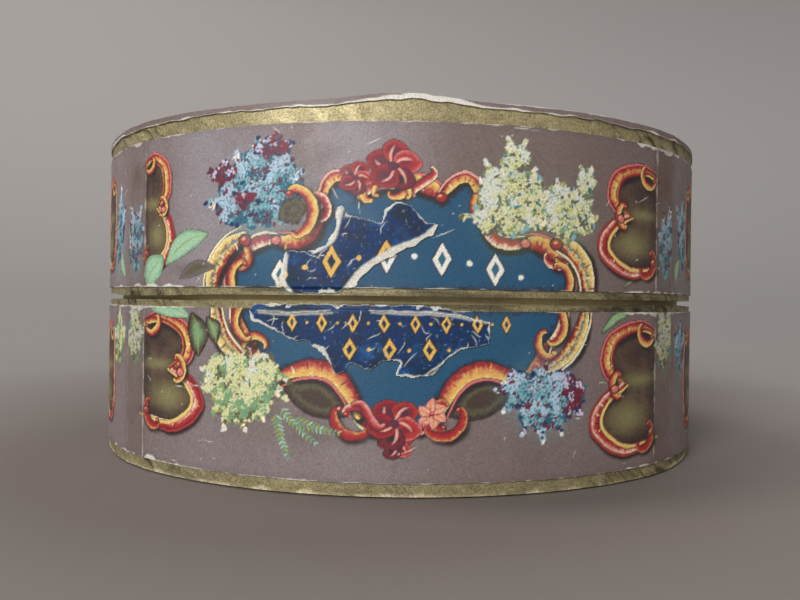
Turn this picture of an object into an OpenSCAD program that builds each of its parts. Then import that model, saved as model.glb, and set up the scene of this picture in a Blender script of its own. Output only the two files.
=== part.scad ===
// Paper-covered cardboard powder box: a base with a tall inner neck, and a lift-off lid.
// In plan it is a cushion: four bowed sides meeting at narrow corner flats.
// Millimetres, +Z up, the origin is under the middle of the base, the front is towards -Y.

/* [Plan] */
// Distance from the middle to the crown of each bowed side
half_width = 43; // [38:0.5:48]
// Radius of each bowed side
side_radius = 46; // [45:0.5:60]
// Width of the flat at each corner
corner_flat = 4; // [2:0.5:8]

/* [Heights] */
// Height of the base wall
base_h = 19.6; // [16:0.2:30]
// Open seam between the base and the lid, where the neck shows
seam_gap = 0.8; // [0.4:0.1:1.5]
// Height of the lid
lid_h = 20.4; // [16:0.2:30]
// Height of the gold band round the foot
foot_band = 1.5; // [1:0.1:3]
// Height of the gold band under the base rim
base_rim_band = 0.6; // [0.4:0.1:2]
// Height of the gold band above the lid rim
lid_rim_band = 0.7; // [0.4:0.1:2]
// Height of the gold band round the crown of the lid, with the folded edge of the top sheet
crown_band = 2.8; // [2:0.1:4]
// Depth that the top sheet folds down over the crown
top_fold = 1.0; // [0.5:0.1:1.8]

/* [Stock] */
// Thickness of the covering papers
paper_t = 0.2; // [0.1:0.05:0.3]
// Thickness of the flat boards
board_t = 1.2; // [0.8:0.1:2]
// Thickness of the lid wall card
lid_card_t = 0.9; // [0.6:0.1:1.2]
// Thickness of the neck card
neck_card_t = 0.9; // [0.6:0.1:1.5]
// Thickness of the lining papers
lining_t = 0.15; // [0.1:0.05:0.2]
// Thickness of the torn seal label
seal_t = 0.15; // [0.1:0.05:0.2]
// Gap all round between the lid lining and the neck
slide_gap = 0.3; // [0.2:0.05:0.5]

/* [Glue joints] */
// Width of the gold paper hidden under the printed wrap
band_lap = 1.5; // [1:0.5:3]
// Width of the gold paper turned over on to a board
turn_in = 5; // [3:0.5:8]
// Height of the gold paper turned up inside the lid
rim_turn_up = 3; // [2:0.5:5]
// Gap left at the back between the butted ends of each bent card strip
butt_gap = 0.1; // [0.1:0.05:0.3]
// Margin of gold paper left showing round the sheet under the bottom
foot_margin = 1.2; // [0.8:0.1:3]

/* [Hidden] */
$fn = 96;

// Plan: each bowed side is part of a circle whose centre lies past the middle by bow_offset
bow_offset = side_radius - half_width;
// Distance from the middle to the corner flat, where that flat meets both bows at its ends
corner_reach = (-sqrt(2) * bow_offset
    + sqrt(4 * pow(side_radius, 2) - 2 * pow(bow_offset, 2) - pow(corner_flat, 2)
        - 2 * sqrt(2) * bow_offset * corner_flat)) / 2;

// Depths below the outer face of the printed wrap
gold_in = paper_t;
card_in = 2 * paper_t;
lid_card_inner = card_in + lid_card_t;
lid_lining_inner = lid_card_inner + lining_t;
neck_in = lid_lining_inner + slide_gap;
neck_card_in = neck_in + lining_t;
neck_card_inner = neck_card_in + neck_card_t;
neck_lining_inner = neck_card_inner + lining_t;

// Heights above the table
board_z = 2 * paper_t;
floor_z = board_z + board_t;
floor_top = floor_z + paper_t;
lid_z = base_h + seam_gap;
top_z = lid_z + lid_h;
lid_board_z = top_z - 2 * paper_t - board_t;
ceiling_z = lid_board_z - paper_t;
ceiling_gap = 0.1;
// How deep the slabs are that cut the butt gap and the label outlines, and how far inside the
// outer face they start
cut_depth = 12;
wall_reach = 6;
neck_top = ceiling_z - ceiling_gap;

seam_z = base_h + seam_gap / 2;
// Height above and below the seam that holds the whole label
seal_reach = 12;
// Torn outlines of the two halves of the seal label, seen from the front, where [0, 0] is the
// middle of the seam
lid_seal_outline = [
    [-11.1, 0.4], [-12.4, 0.9], [-12.8, 1.4], [-11.9, 5], [-9, 4.9], [-7.7, 5.6], [-6.7, 7.2],
    [-6.8, 9.3], [-5.9, 9.5], [-5.2, 8.6], [-2.1, 7.9], [-1.8, 9.1], [-0.5, 9.9], [0.9, 9.7],
    [2.7, 7.9], [4, 7.7], [3.4, 6.4], [0.8, 5], [-2.2, 3.5], [-3.8, 2.1], [-4.5, 1.1], [-6.8, 0.4],
];
base_seal_outline = [
    [-15.6, -0.4], [-16, -1.2], [-15.9, -2.4], [-13, -3.4], [-11.4, -4.2], [-9.3, -4.5],
    [-7.6, -5.9], [-6.4, -7.7], [-5.3, -7.3], [-4.9, -6.5], [-2.9, -7.2], [-1.6, -6.2], [0, -6.3],
    [-0.6, -7.7], [1.4, -8], [3.6, -7.5], [4.6, -6.2], [5.9, -5.2], [7.3, -4.8], [9.3, -4.5],
    [9.3, -2.1], [6, -1.2], [4.7, -0.6], [4, -0.4],
];

// The plan outline, drawn in by inset from the outer face
module outline(inset = 0) {
    intersection() {
        intersection_for (a = [0:90:270]) rotate(a) translate([-bow_offset, 0])
            circle(r = side_radius - inset);
        rotate(45) square(2 * (corner_reach - inset), center = true);
    }
}

// A flat plate of the plan outline
module plate(inset, z0, z1) {
    translate([0, 0, z0]) linear_extrude(z1 - z0) outline(inset);
}

// A wall of the plan outline, from depth outer to depth inner
module ring(outer, inner, z0, z1) {
    translate([0, 0, z0]) linear_extrude(z1 - z0) difference() {
        outline(outer);
        outline(inner);
    }
}

// The narrow gap at the back where the ends of a bent card strip meet
module butt_cut(z0, z1) {
    translate([-butt_gap / 2, half_width - wall_reach, z0 - 1])
        cube([butt_gap, cut_depth, z1 - z0 + 2]);
}

module card_strip(outer, inner, z0, z1) {
    difference() {
        ring(outer, inner, z0, z1);
        butt_cut(z0, z1);
    }
}

// A printed wrap: it laps over the gold bands, and lies on the card between them
module wrap(z0, z1) {
    union() {
        ring(0, gold_in, z0, z1);
        ring(gold_in, card_in, z0 + band_lap, z1 - band_lap);
    }
}

// A slab through the front wall with one torn outline
module seal_cutter(points) {
    translate([0, wall_reach - half_width, seam_z]) rotate([90, 0, 0])
        linear_extrude(cut_depth) polygon(points);
}

module bottom_paper() {
    color("#b9ad97") union() {
        plate(foot_margin, 0, paper_t);
        plate(gold_in + turn_in, paper_t, board_z);
    }
}

module bottom_board() {
    color("#a8916c") plate(neck_in, board_z, floor_z);
}

module base_wall_card() {
    color("#a8916c") card_strip(card_in, neck_in, board_z, base_h - paper_t);
}

module base_floor_paper() {
    color("#e4dcc8") plate(neck_in, floor_z, floor_top);
}

module neck_card() {
    color("#a8916c") card_strip(neck_card_in, neck_card_inner, floor_top, neck_top - lining_t);
}

module neck_cover_paper() {
    color("#b5a77c") union() {
        ring(neck_in, neck_card_in, floor_top, neck_top);
        ring(neck_card_in, neck_card_inner, neck_top - lining_t, neck_top);
    }
}

module neck_lining_paper() {
    color("#e4dcc8") ring(neck_card_inner, neck_lining_inner, floor_top, neck_top);
}

module base_foot_gold_edging() {
    color("#9c8a44") union() {
        ring(gold_in, card_in, paper_t, foot_band + band_lap);
        ring(gold_in, gold_in + turn_in, paper_t, board_z);
    }
}

module base_rim_gold_edging() {
    color("#9c8a44") union() {
        ring(gold_in, card_in, base_h - base_rim_band - band_lap, base_h);
        ring(gold_in, neck_in, base_h - paper_t, base_h);
    }
}

module base_litho_wrap() {
    color("#8d7e80") wrap(foot_band, base_h - base_rim_band);
}

module base_seal_label() {
    wrap_top = base_h - base_rim_band;
    color("#1d3f78") intersection() {
        union() {
            ring(-seal_t, 0, seam_z - seal_reach, wrap_top + seal_t);
            ring(-seal_t, gold_in, wrap_top, wrap_top + seal_t);
            ring(gold_in - seal_t, gold_in, wrap_top, base_h);
        }
        seal_cutter(base_seal_outline);
    }
}

module lid_top_board() {
    color("#a8916c") plate(card_in, lid_board_z, lid_board_z + board_t);
}

module lid_wall_card() {
    color("#a8916c") card_strip(card_in, lid_card_inner, lid_z + paper_t, lid_board_z);
}

module lid_wall_lining() {
    color("#e4dcc8") ring(lid_card_inner, lid_lining_inner, lid_z + rim_turn_up, lid_board_z);
}

module lid_ceiling_paper() {
    color("#e4dcc8") plate(lid_lining_inner, ceiling_z, lid_board_z);
}

module lid_crown_gold_edging() {
    color("#9c8a44") union() {
        ring(gold_in, card_in, top_z - crown_band - band_lap, top_z - paper_t);
        ring(gold_in, gold_in + turn_in, top_z - board_z, top_z - paper_t);
    }
}

module lid_rim_gold_edging() {
    color("#9c8a44") union() {
        ring(gold_in, card_in, lid_z, lid_z + lid_rim_band + band_lap);
        ring(gold_in, lid_lining_inner, lid_z, lid_z + paper_t);
        ring(lid_card_inner, lid_lining_inner, lid_z, lid_z + rim_turn_up);
    }
}

module lid_litho_wrap() {
    color("#8d7e80") wrap(lid_z + lid_rim_band, top_z - crown_band);
}

module lid_top_sheet() {
    color("#93868a") union() {
        plate(0, top_z - paper_t, top_z);
        ring(0, gold_in, top_z - top_fold, top_z);
        plate(gold_in + turn_in, top_z - board_z, top_z);
    }
}

module lid_seal_label() {
    wrap_bottom = lid_z + lid_rim_band;
    color("#1d3f78") intersection() {
        union() {
            ring(-seal_t, 0, wrap_bottom - seal_t, seam_z + seal_reach);
            ring(-seal_t, gold_in, wrap_bottom - seal_t, wrap_bottom);
            ring(gold_in - seal_t, gold_in, lid_z, wrap_bottom);
        }
        seal_cutter(lid_seal_outline);
    }
}

bottom_paper();
bottom_board();
base_wall_card();
base_floor_paper();
neck_card();
neck_cover_paper();
neck_lining_paper();
base_foot_gold_edging();
base_rim_gold_edging();
base_litho_wrap();
base_seal_label();
lid_top_board();
lid_wall_card();
lid_wall_lining();
lid_ceiling_paper();
lid_crown_gold_edging();
lid_rim_gold_edging();
lid_litho_wrap();
lid_top_sheet();
lid_seal_label();
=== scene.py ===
import math

import bpy
import numpy as np
from mathutils import Matrix, Vector


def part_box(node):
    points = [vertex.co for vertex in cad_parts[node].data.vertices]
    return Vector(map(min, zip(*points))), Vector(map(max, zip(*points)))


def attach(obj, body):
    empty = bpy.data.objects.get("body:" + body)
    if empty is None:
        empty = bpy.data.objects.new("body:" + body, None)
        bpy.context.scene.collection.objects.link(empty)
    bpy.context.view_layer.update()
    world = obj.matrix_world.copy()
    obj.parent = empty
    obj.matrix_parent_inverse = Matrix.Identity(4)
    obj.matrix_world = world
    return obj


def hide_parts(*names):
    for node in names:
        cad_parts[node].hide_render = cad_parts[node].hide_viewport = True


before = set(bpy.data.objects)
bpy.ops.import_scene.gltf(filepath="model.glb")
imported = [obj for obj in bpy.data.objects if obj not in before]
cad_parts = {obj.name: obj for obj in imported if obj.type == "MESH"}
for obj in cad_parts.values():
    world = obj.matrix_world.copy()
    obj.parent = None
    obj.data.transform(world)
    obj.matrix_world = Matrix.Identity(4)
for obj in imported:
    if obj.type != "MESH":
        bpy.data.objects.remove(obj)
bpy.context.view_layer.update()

# Looks of a paper-covered cardboard powder box. Lengths are millimetres, turned to metres as a
# mesh is made. A printed sheet has its own flat coordinates: s runs along the wall from the middle
# of a side, and z runs up from the middle of the seam.

MM = 0.001


# ---------------------------------------------------------------- sizes, from the frame

def span(node, axis):
    """Lowest and highest place of a CAD node along an axis, in millimetres."""
    low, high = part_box(node)
    return low[axis] / MM, high[axis] / MM


HALF_WIDTH = span("lid_litho_wrap", 0)[1]
BASE_WRAP = span("base_litho_wrap", 2)
LID_WRAP = span("lid_litho_wrap", 2)
LID_RIM_Z = span("lid_rim_gold_edging", 2)[0]
BASE_TOP = span("base_rim_gold_edging", 2)[1]
TOP_Z = span("lid_top_sheet", 2)[1]
SHEET_FOOT = span("lid_top_sheet", 2)[0]
SEAM_Z = (BASE_TOP + LID_RIM_Z) / 2
SEAM_GAP = LID_RIM_Z - BASE_TOP

SIDE_RADIUS = 46.0
CORNER_FLAT = 4.0
PAPER = 0.2
LABEL = 0.15
BAND_LAP = 1.5
TURN_IN = 5.0
NECK_IN = 1.75
LID_LINING_INNER = 1.45
LID_CARD_INNER = 1.3
RIM_TURN_UP = 3.0

BOW_OFFSET = SIDE_RADIUS - HALF_WIDTH
ROOT2 = math.sqrt(2)
CORNER_REACH = (-ROOT2 * BOW_OFFSET + math.sqrt(
    4 * SIDE_RADIUS ** 2 - 2 * BOW_OFFSET ** 2 - CORNER_FLAT ** 2
    - 2 * ROOT2 * BOW_OFFSET * CORNER_FLAT)) / 2


def bow_end(inset):
    """Angle at which the bowed side, drawn in by inset, meets its corner flat."""
    reach = (CORNER_REACH - inset) * ROOT2 + BOW_OFFSET
    return np.arcsin(reach / (ROOT2 * (SIDE_RADIUS - inset))) - math.pi / 4


BOW_LENGTH = SIDE_RADIUS * float(bow_end(0.0))
SIDE_REACH = {"front": BOW_LENGTH + CORNER_FLAT, "back": BOW_LENGTH + CORNER_FLAT,
              "right": BOW_LENGTH, "left": BOW_LENGTH}
QUARTER_TURNS = {"front": 0, "right": 1, "back": 2, "left": 3}


def wall_point(side, s, inset):
    """Plan position of the point s along a side, drawn in by inset from the wrap's face."""
    end = bow_end(inset)
    radius = SIDE_RADIUS - inset
    angle = np.clip(s, -BOW_LENGTH, BOW_LENGTH) / BOW_LENGTH * end
    x = radius * np.sin(angle)
    y = BOW_OFFSET - radius * np.cos(angle)
    # The corner flat shortens as it is drawn in, because its neighbours close on it
    flat = 2 * ((CORNER_REACH - inset) - ROOT2 * (radius * np.cos(end) - BOW_OFFSET))
    past = (np.abs(s) - BOW_LENGTH).clip(0) / CORNER_FLAT * np.abs(flat) / ROOT2
    x = x + np.sign(s) * past
    y = y + past
    turn = QUARTER_TURNS[side] * math.pi / 2
    return x * math.cos(turn) - y * math.sin(turn), x * math.sin(turn) + y * math.cos(turn)


# ---------------------------------------------------------------- noise and inks

NOISE_SIZE = 256


def grain(s, z, cell, seed):
    """Smooth noise from -1 to 1, whose bumps are about cell millimetres across."""
    table = np.random.default_rng(seed).random((NOISE_SIZE, NOISE_SIZE)) * 2 - 1
    u = np.asarray(s) / cell
    v = np.asarray(z) / cell
    i = np.floor(u).astype(int)
    j = np.floor(v).astype(int)
    f = u - i
    g = v - j
    f = f * f * (3 - 2 * f)
    g = g * g * (3 - 2 * g)
    i0, i1 = i % NOISE_SIZE, (i + 1) % NOISE_SIZE
    j0, j1 = j % NOISE_SIZE, (j + 1) % NOISE_SIZE
    low = table[i0, j0] * (1 - f) + table[i1, j0] * f
    high = table[i0, j1] * (1 - f) + table[i1, j1] * f
    return low * (1 - g) + high * g


def cloud(s, z, cell, seed, octaves=3):
    """Noise of several sizes added up, from about -1 to 1."""
    total = 0.0
    for k in range(octaves):
        total = total + grain(s, z, cell / 2 ** k, seed + k) / 2 ** k
    return total / 1.5


def step(value, width):
    """0 below zero, 1 above width, and smooth between."""
    t = np.clip(value / width, 0, 1)
    return t * t * (3 - 2 * t)


INKS = {
    "mauve": (125, 112, 112), "mauve_light": (144, 139, 145), "mauve_brown": (104, 88, 82),
    "ink": (40, 30, 34), "umber": (66, 52, 44), "bark": (92, 72, 58), "olive": (88, 86, 62),
    "moss": (140, 138, 90), "plum": (88, 34, 56), "wine": (118, 26, 40), "crimson": (158, 32, 36),
    "red": (166, 50, 48), "rose": (206, 108, 104), "pink": (222, 160, 148),
    "peach": (226, 168, 118), "orange": (206, 142, 86), "gold": (216, 174, 90),
    "yellow": (226, 204, 124), "cream": (236, 224, 184), "white": (226, 224, 214),
    "pearl": (206, 210, 200), "lilac": (196, 194, 216), "sky": (162, 190, 208),
    "aqua": (116, 168, 178), "teal": (36, 98, 118), "navy": (20, 44, 84), "field": (22, 76, 108),
    "deep": (14, 42, 66), "label": (8, 48, 96), "azure": (24, 96, 158), "mint": (152, 192, 160),
    "sage": (112, 152, 112), "leaf": (146, 158, 70), "straw": (204, 205, 156),
    "shade": (102, 94, 92), "card": (206, 200, 186),
}


def linear_of(rgb):
    """A screen colour, 0 to 255, as linear light."""
    c = np.array(rgb) / 255
    return np.where(c <= 0.04045, c / 12.92, ((c + 0.055) / 1.055) ** 2.4)


def linear(name):
    """An ink as linear light."""
    return linear_of(INKS[name])


def ramp(names, t):
    """Colours along a row of inks, from the first at 0 to the last at 1."""
    row = np.array([linear(n) for n in names.split()])
    place = np.clip(t, 0, 1) * (len(row) - 1)
    if len(row) == 1:
        return np.broadcast_to(row[0], place.shape + (3,))
    i = np.minimum(place.astype(int), len(row) - 2)
    f = (place - i)[..., None]
    return row[i] * (1 - f) + row[i + 1] * f


# ---------------------------------------------------------------- curves, by formula

def smooth(points, per_part=8, closed=False):
    """A Catmull-Rom curve through points."""
    p = np.array(points, float)
    if closed:
        p = np.vstack([p[-1], p, p[0], p[1]])
    else:
        p = np.vstack([2 * p[0] - p[1], p, 2 * p[-1] - p[-2]])
    t = np.linspace(0, 1, per_part, endpoint=False)[:, None]
    parts = []
    for a, b, c, d in zip(p, p[1:], p[2:], p[3:]):
        parts.append(0.5 * (2 * b + (c - a) * t + (2 * a - 5 * b + 4 * c - d) * t ** 2
                            + (3 * b - a - 3 * c + d) * t ** 3))
    if not closed:
        parts.append(p[-2][None])
    return np.vstack(parts)


def walked(heading, s, z, size, turn, flip=False):
    """The path walked in even steps along the headings, scaled to size and moved to (s, z)."""
    path = np.cumsum(np.stack([np.cos(heading), np.sin(heading)], 1), 0)
    path = path - (path.min(0) + path.max(0)) / 2
    path = path * size / np.ptp(path, axis=0).max()
    return placed(path, s, z, turn, flip)


def c_curve(s, z, size, turn, flip):
    """A C-scroll: a bow whose ends curl in ever tighter. size is its greatest width."""
    u = np.linspace(-1, 1, 72)
    heading = np.cumsum(1.5 + 13.0 * u ** 8) * (u[1] - u[0])
    return walked(heading - heading[len(u) // 2], s, z, size, turn, flip)


def arc(a, b, bulge):
    """A bow from a to b that stands out by bulge to the left of the way."""
    a, b = np.array(a, float), np.array(b, float)
    t = np.linspace(0, 1, 22)[:, None]
    away = np.array([a[1] - b[1], b[0] - a[0]]) / np.hypot(*(b - a))
    return a + t * (b - a) + away * bulge * 4 * t * (1 - t)


def s_curve(s, z, size, turn):
    """An S-scroll: it curls one way at its start and the other way at its end."""
    u = np.linspace(-1, 1, 56)
    heading = np.cumsum(4.0 * u ** 3 + 0.6 * u) * (u[1] - u[0]) * 1.5
    return walked(heading, s, z, size, turn)


def placed(path, s, z, turn, flip=False):
    """A path turned by degrees, mirrored if asked, and moved to (s, z)."""
    a = math.radians(turn)
    x = path[:, 0] * (-1 if flip else 1)
    return np.stack([s + x * math.cos(a) - path[:, 1] * math.sin(a),
                     z + x * math.sin(a) + path[:, 1] * math.cos(a)], 1)


# ---------------------------------------------------------------- the printed sheet

class Page:
    """A printed sheet, painted at the points of the mesh that carries it."""

    def __init__(self, s, z, seed):
        self.shape = s.shape
        self.s = s.ravel()
        self.z = z.ravel()
        self.seed = seed
        # The edges of the inks wander a little, as they do on a drawn stone
        self.ws = self.s + 0.09 * cloud(self.s, self.z, 0.9, seed)
        self.wz = self.z + 0.09 * cloud(self.s, self.z, 0.9, seed + 10)
        self.dots = cloud(self.s, self.z, 0.26, seed + 20, 2)
        self.ink = np.zeros((self.s.size, 3))

    def near(self, low, high, margin):
        inside = (self.s > low[0] - margin) & (self.s < high[0] + margin)
        inside &= (self.z > low[1] - margin) & (self.z < high[1] + margin)
        return np.nonzero(inside)[0]

    def lay(self, at, cover, tone):
        cover = np.clip(cover, 0, 1)[:, None]
        self.ink[at] = self.ink[at] * (1 - cover) + tone * cover

    def wash(self, cover, ink):
        """One ink over the whole page."""
        self.lay(slice(None), np.broadcast_to(cover, self.s.shape), linear(ink))

    def blob(self, points, inks, core=1.0, soft=0.08, line=0.0, curved=True):
        """A filled shape. inks run from its rim to a depth of core."""
        p = smooth(points, 6, closed=True) if curved else np.array(points, float)
        at = self.near(p.min(0), p.max(0), soft + line + 0.3)
        if not at.size:
            return
        depth = outline_depth(self.ws[at], self.wz[at], p)
        if line:
            self.lay(at, step(depth + line + soft / 2, soft), linear("ink"))
        tone = ramp(inks, depth / core + 0.22 * self.dots[at])
        self.lay(at, step(depth + soft / 2, soft), tone)

    def stroke(self, path, width, inks, line=0.1, soft=0.08, fade=False):
        """A band along a path. inks run across it, from its left edge to its right."""
        p = np.array(path, float)
        reach = width / 2 + line + soft + 0.3
        at = self.near(p.min(0), p.max(0), reach)
        if not at.size:
            return
        gap, side, along = path_distance(self.ws[at], self.wz[at], p)
        # Thin at both ends and full between
        half = width / 2 * (0.35 + 0.65 * np.sin(np.pi * np.clip(along, 0.04, 0.96)) ** 0.7)
        if line:
            self.lay(at, step(half + line - gap + soft / 2, soft) * 0.85, linear("ink"))
        across = 0.5 + 0.5 * side * gap / half
        cover = step(half - gap + soft / 2, soft)
        if fade:
            cover = cover * np.sin(np.pi * along) ** 0.5
        self.lay(at, cover, ramp(inks, across + 0.2 * self.dots[at]))

    def dab(self, s, z, length, width, ink, turn=0.0):
        """One oval touch of ink."""
        soft = 0.07
        at = self.near((s, z), (s, z), max(length, width) / 2 + 0.15)
        if not at.size:
            return
        a = math.radians(turn)
        ds, dz = self.ws[at] - s, self.wz[at] - z
        u = (ds * math.cos(a) + dz * math.sin(a)) * 2 / length
        v = (dz * math.cos(a) - ds * math.sin(a)) * 2 / width
        depth = (1 - np.hypot(u, v)) * min(length, width) / 2
        self.lay(at, step(depth + soft / 2, soft), linear(ink))

    def stain(self, s, z, length, width, ink, strength=0.5):
        """A soft patch with no edge."""
        at = self.near((s, z), (s, z), max(length, width))
        gap = np.hypot((self.ws[at] - s) / length, (self.wz[at] - z) / width) * 2
        self.lay(at, np.exp(-gap ** 2 * 1.6) * strength, linear(ink))


def segment_gap(s, z, a, b, c, d):
    """Squared distance to the line from (a, b) to (c, d), and how far along it that is."""
    length2 = (c - a) ** 2 + (d - b) ** 2 + 1e-12
    t = np.clip(((s - a) * (c - a) + (z - b) * (d - b)) / length2, 0, 1)
    return (s - a - t * (c - a)) ** 2 + (z - b - t * (d - b)) ** 2, t


def outline_depth(s, z, p):
    """Depth of points inside a closed outline; negative outside it."""
    nearest = np.full(s.size, np.inf)
    inside = np.zeros(s.size, bool)
    for (a, b), (c, d) in zip(p, np.roll(p, -1, 0)):
        nearest = np.minimum(nearest, segment_gap(s, z, a, b, c, d)[0])
        if d != b:
            crosses = (b > z) != (d > z)
            inside ^= crosses & (s < (c - a) * (z - b) / (d - b) + a)
    return np.sqrt(nearest) * np.where(inside, 1, -1)


def path_distance(s, z, p):
    """Distance to a path, the side of it (1 left, -1 right), and how far along it that is."""
    nearest = np.full(s.size, np.inf)
    side = np.ones(s.size)
    along = np.zeros(s.size)
    lengths = np.hypot(*np.diff(p, axis=0).T)
    run = np.concatenate([[0], np.cumsum(lengths)])
    for k, ((a, b), (c, d)) in enumerate(zip(p, p[1:])):
        gap, t = segment_gap(s, z, a, b, c, d)
        closer = gap < nearest
        nearest = np.where(closer, gap, nearest)
        side = np.where(closer, np.sign((c - a) * (z - b) - (d - b) * (s - a)), side)
        along = np.where(closer, (run[k] + t * lengths[k]) / run[-1], along)
    return np.sqrt(nearest), side, along


# ---------------------------------------------------------------- motifs

WARM = "yellow gold orange red wine"
WARM_BACK = "wine red orange gold yellow"
ROSY = "cream pink red crimson plum"
ROSY_BACK = "plum crimson red pink cream"
HOT = "orange red crimson wine"
BROAD = "cream yellow gold teal yellow red wine"
BROAD_BACK = "wine red yellow teal gold yellow cream"


def knob(page, s, z, size, ink):
    page.dab(s, z, size * 1.3, size * 1.1, "ink")
    page.dab(s, z, size, size * 0.82, ink)
    page.dab(s - size * 0.12, z + size * 0.14, size * 0.4, size * 0.26, "peach", 25)


def scroll(page, s, z, size, turn, inks, width, flip=False):
    """A C-scroll with a curled end and a shadow behind it."""
    path = c_curve(s, z, size, turn, flip)
    page.stroke(path + (0.25, -0.25), width * 1.4, "ink", line=0, soft=0.5, fade=True)
    page.stroke(path, width, inks)
    knob(page, *path[-1], width * 0.6, inks.split()[-2])


def wave(page, s, z, size, turn, inks):
    """A slim S-scroll."""
    page.stroke(s_curve(s, z, size, turn), 0.9, inks)


def banded(page, path, width, inks, rim="pink"):
    """Moulded framing along a path: a shaded band with a pale bead down its outer side."""
    page.stroke(path + (0.15, -0.3), width * 1.5, "ink", line=0, soft=0.5)
    page.stroke(path, width, inks, line=0.14)
    slope = np.gradient(path, axis=0)
    away = np.stack([-slope[:, 1], slope[:, 0]], 1) / np.hypot(*slope.T)[:, None]
    page.stroke(path + away * width * 0.52, 0.26, rim, line=0.07)
    rng = np.random.default_rng(int(1000 * abs(path[0, 0] + path[-1, 1])))
    for k in range(3, len(path) - 3, 3):
        # Serrations where the light catches the moulding
        at = path[k] - away[k] * width * rng.uniform(0.0, 0.3)
        page.dab(at[0], at[1], width * 0.42, 0.16, rng.choice(["cream", "red", "gold", "wine"]),
                 math.degrees(math.atan2(away[k, 1], away[k, 0])))


def cartouche(page, lobes, inks, fill, core, width=1.05):
    """A panel with a scrolled frame. lobes are (start, end, bulge) bows in order round it."""
    bows = [arc(*lobe) for lobe in lobes]
    page.blob(np.vstack([b[:-1] for b in bows]), fill, core=core, line=0.12, curved=False)
    for k, bow in enumerate(bows):
        banded(page, bow, width * (0.8 + 0.25 * (k % 3)), inks[k % len(inks)],
               ("pink", "cream", "rose")[k % 3])
    for k, bow in enumerate(bows):
        if k % 2:
            turn = math.degrees(math.atan2(*(bow[1] - bow[0])[::-1]))
            scroll(page, *bow[0], width * 2.1, turn + 40, inks[(k + 1) % len(inks)], width * 0.62)
        else:
            knob(page, *bow[0], width * 0.75, ("crimson", "orange", "rose")[k % 3])


def leaf(page, s, z, length, turn, inks="sage mint mint", width=0.4, rib_ink="leaf"):
    """A lens-shaped leaf that grows from (s, z), with a midrib."""
    t = np.linspace(0, 1, 9)
    bulge = np.sin(np.pi * t) ** 0.8 * length * width / 2
    bend = np.sin(np.pi * t) * length * 0.1
    upper = np.stack([t * length, bend + bulge], 1)
    lower = np.stack([t * length, bend - bulge], 1)[::-1][1:-1]
    page.blob(placed(np.vstack([upper, lower]), s, z, turn), inks, core=length * width * 0.35,
              line=0.05)
    rib = placed(np.stack([t * length, bend], 1), s, z, turn)
    page.stroke(rib, 0.16, rib_ink, line=0, fade=True)


def petals(page, s, z, size, count, inks, turn=0.0):
    """Pointed petals fanned round (s, z)."""
    for k in range(count):
        angle = turn + (k - (count - 1) / 2) * 360 / count
        leaf(page, s, z, size, angle, inks, width=0.62, rib_ink=inks.split()[0])
    page.dab(s, z, size * 0.36, size * 0.3, "crimson")
    page.dab(s, z + size * 0.05, size * 0.14, size * 0.1, "pink")


def rose(page, s, z, size, turn):
    """A red flower of rounded lobes, darker on its left and lit on its right."""
    around = np.linspace(0, 2 * math.pi, 9, endpoint=False)
    tones = ("plum wine ink", "crimson wine plum", "red crimson wine plum", "rose red crimson wine")
    for k in range(5):
        angle = math.radians(turn + 160 - 72 * k)
        reach = size * (0.32 + 0.06 * (k % 2))
        cs, cz = s + reach * math.cos(angle), z + reach * math.sin(angle)
        across = size * (0.36 - 0.04 * (k % 2))
        lobe = np.stack([cs + across * np.cos(around) * (1 + 0.12 * np.sin(3 * around + k)),
                         cz + across * 0.85 * np.sin(around)], 1)
        page.blob(lobe, tones[(k + 1) % 4], core=across * 0.7, line=0.08)
        vein = arc((s, z), (cs + across * 0.5 * math.cos(angle), cz + across * 0.5 * math.sin(angle)),
                   across * 0.3)
        page.stroke(vein, size * 0.07, "pink", line=0, fade=True)
    page.dab(s, z, size * 0.3, size * 0.22, "plum", turn)


BLUE_HEAD = {"under": "aqua teal navy plum", "petal": "plum teal aqua sky sky lilac white",
             "eye": "navy plum wine teal"}
CREAM_HEAD = {"under": "sage olive shade aqua", "petal": "olive straw straw pearl pearl cream white",
              "eye": "leaf teal olive sage"}
PLUM_HEAD = {"under": "plum wine navy", "petal": "plum plum wine lilac sky",
             "eye": "navy teal plum"}
STRAW_HEAD = {"under": "olive sage straw", "petal": "olive sage straw straw pearl cream",
              "eye": "leaf olive sage"}


def touch(page, rng, at, long, wide, inks, grow):
    """One oval of a random size, ink and turn."""
    page.dab(*at, rng.uniform(*long) * grow, rng.uniform(*wide) * grow,
             inks[rng.integers(len(inks))], rng.uniform(0, 180))


def floret(page, rng, at, shade, grow):
    """Four small petals crossed."""
    first = rng.uniform(0, 90)
    half = rng.uniform(0.24, 0.5) * grow
    for quarter in range(4):
        a = math.radians(first + 90 * quarter)
        page.dab(at[0] + half * 0.62 * math.cos(a), at[1] + half * 0.62 * math.sin(a), half,
                 half * 0.66, shade, first + 90 * quarter)


def clump_places(rng, sprays, rise):
    """The middle clump and one for each spray, as (across, up, size) in halves of the head."""
    clumps = [(0.0, -0.1, 0.62)]
    for k in range(sprays):
        angle = math.radians(-35 + 250 * (k + rng.uniform(0.2, 0.8)) / sprays)
        reach = rng.uniform(0.55, 0.8)
        clumps.append((reach * math.cos(angle), reach * math.sin(angle) * rise,
                       rng.uniform(0.24, 0.4)))
    return clumps


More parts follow.
